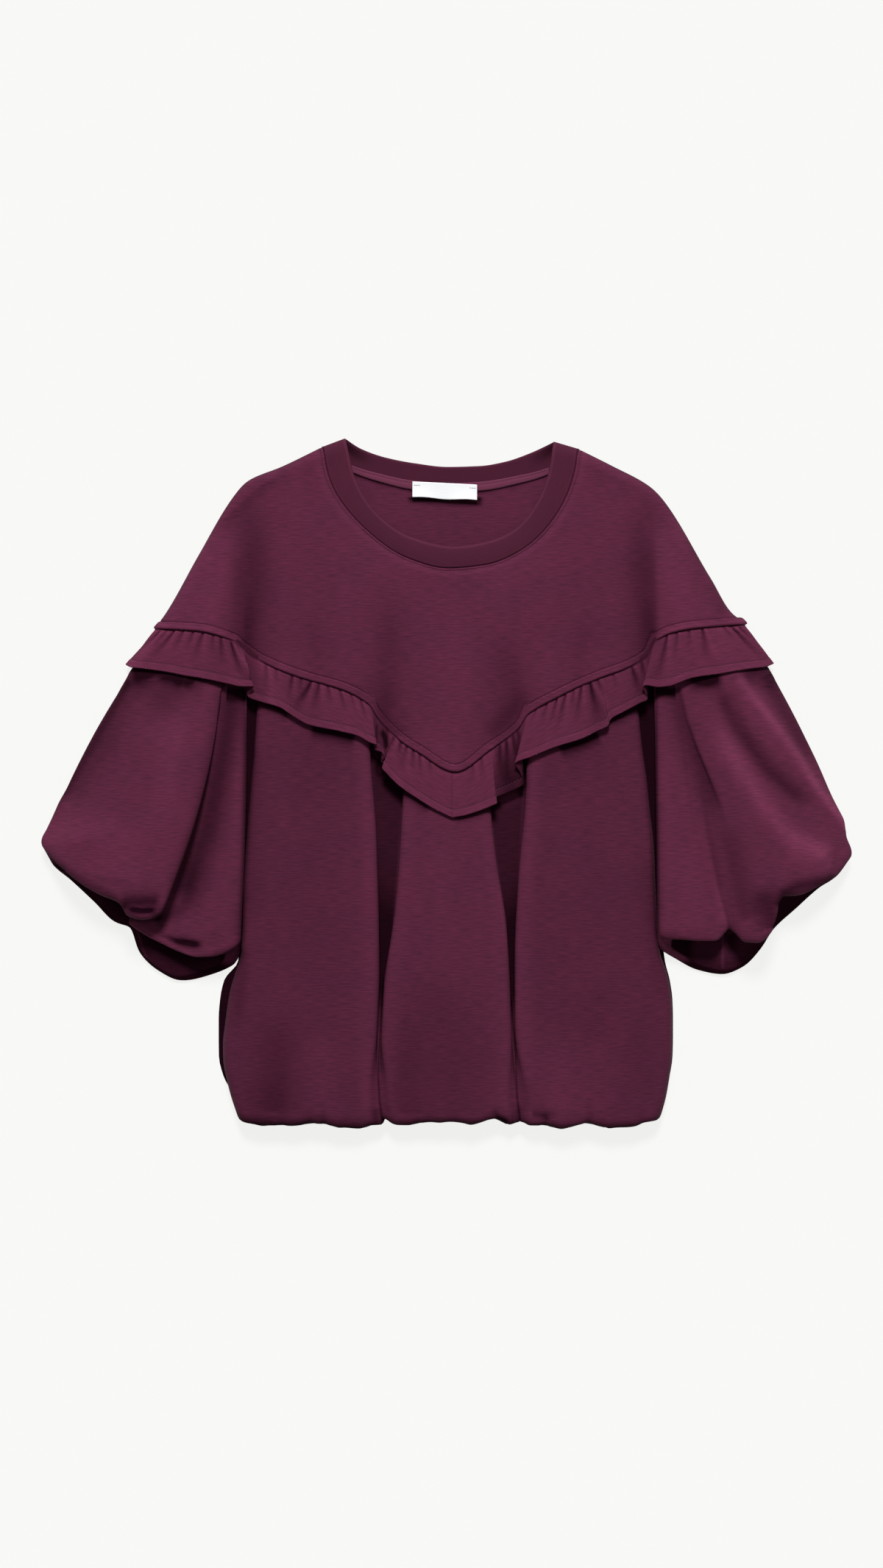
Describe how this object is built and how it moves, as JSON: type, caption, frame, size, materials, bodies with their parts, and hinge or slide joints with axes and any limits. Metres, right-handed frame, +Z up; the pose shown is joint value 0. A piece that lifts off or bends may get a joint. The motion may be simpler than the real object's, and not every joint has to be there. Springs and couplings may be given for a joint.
{
  "type": "t-shirt",
  "caption": "Women's plum knit t-shirt laid flat, with a dropped yoke, a gathered ruffle in its V-shaped seam, deep inverted pleats, a bubble hem and puffed half sleeves.",
  "frame": {"origin": "on the surface that the garment lies on, under the middle of the body, halfway down its length", "axes": "+X across the garment towards the wearer's left sleeve (the longest way), +Y from the hem to the neck, +Z up out of the surface (the shortest way)"},
  "size_m": [0.7348, 0.6273, 0.0427],
  "materials": {
    "plum_knit": "matte heavy cotton knit with fine cross courses",
    "plum_ruffle_knit": "matte cotton knit, single layer",
    "plum_rib": "matte fine cotton rib",
    "plum_tape": "matte cotton knit tape",
    "white_satin": "smooth white satin, bare"
  },
  "bodies": {
    "root": {"back_body": "plum_knit", "back_yoke": "plum_knit", "front_body": "plum_knit", "front_yoke": "plum_knit", "sleeve_left": "plum_knit", "sleeve_right": "plum_knit", "ruffle_left": "plum_ruffle_knit", "ruffle_right": "plum_ruffle_knit", "neckband": "plum_rib", "neck_tape": "plum_tape", "label": "white_satin"}
  },
  "joints": []
}
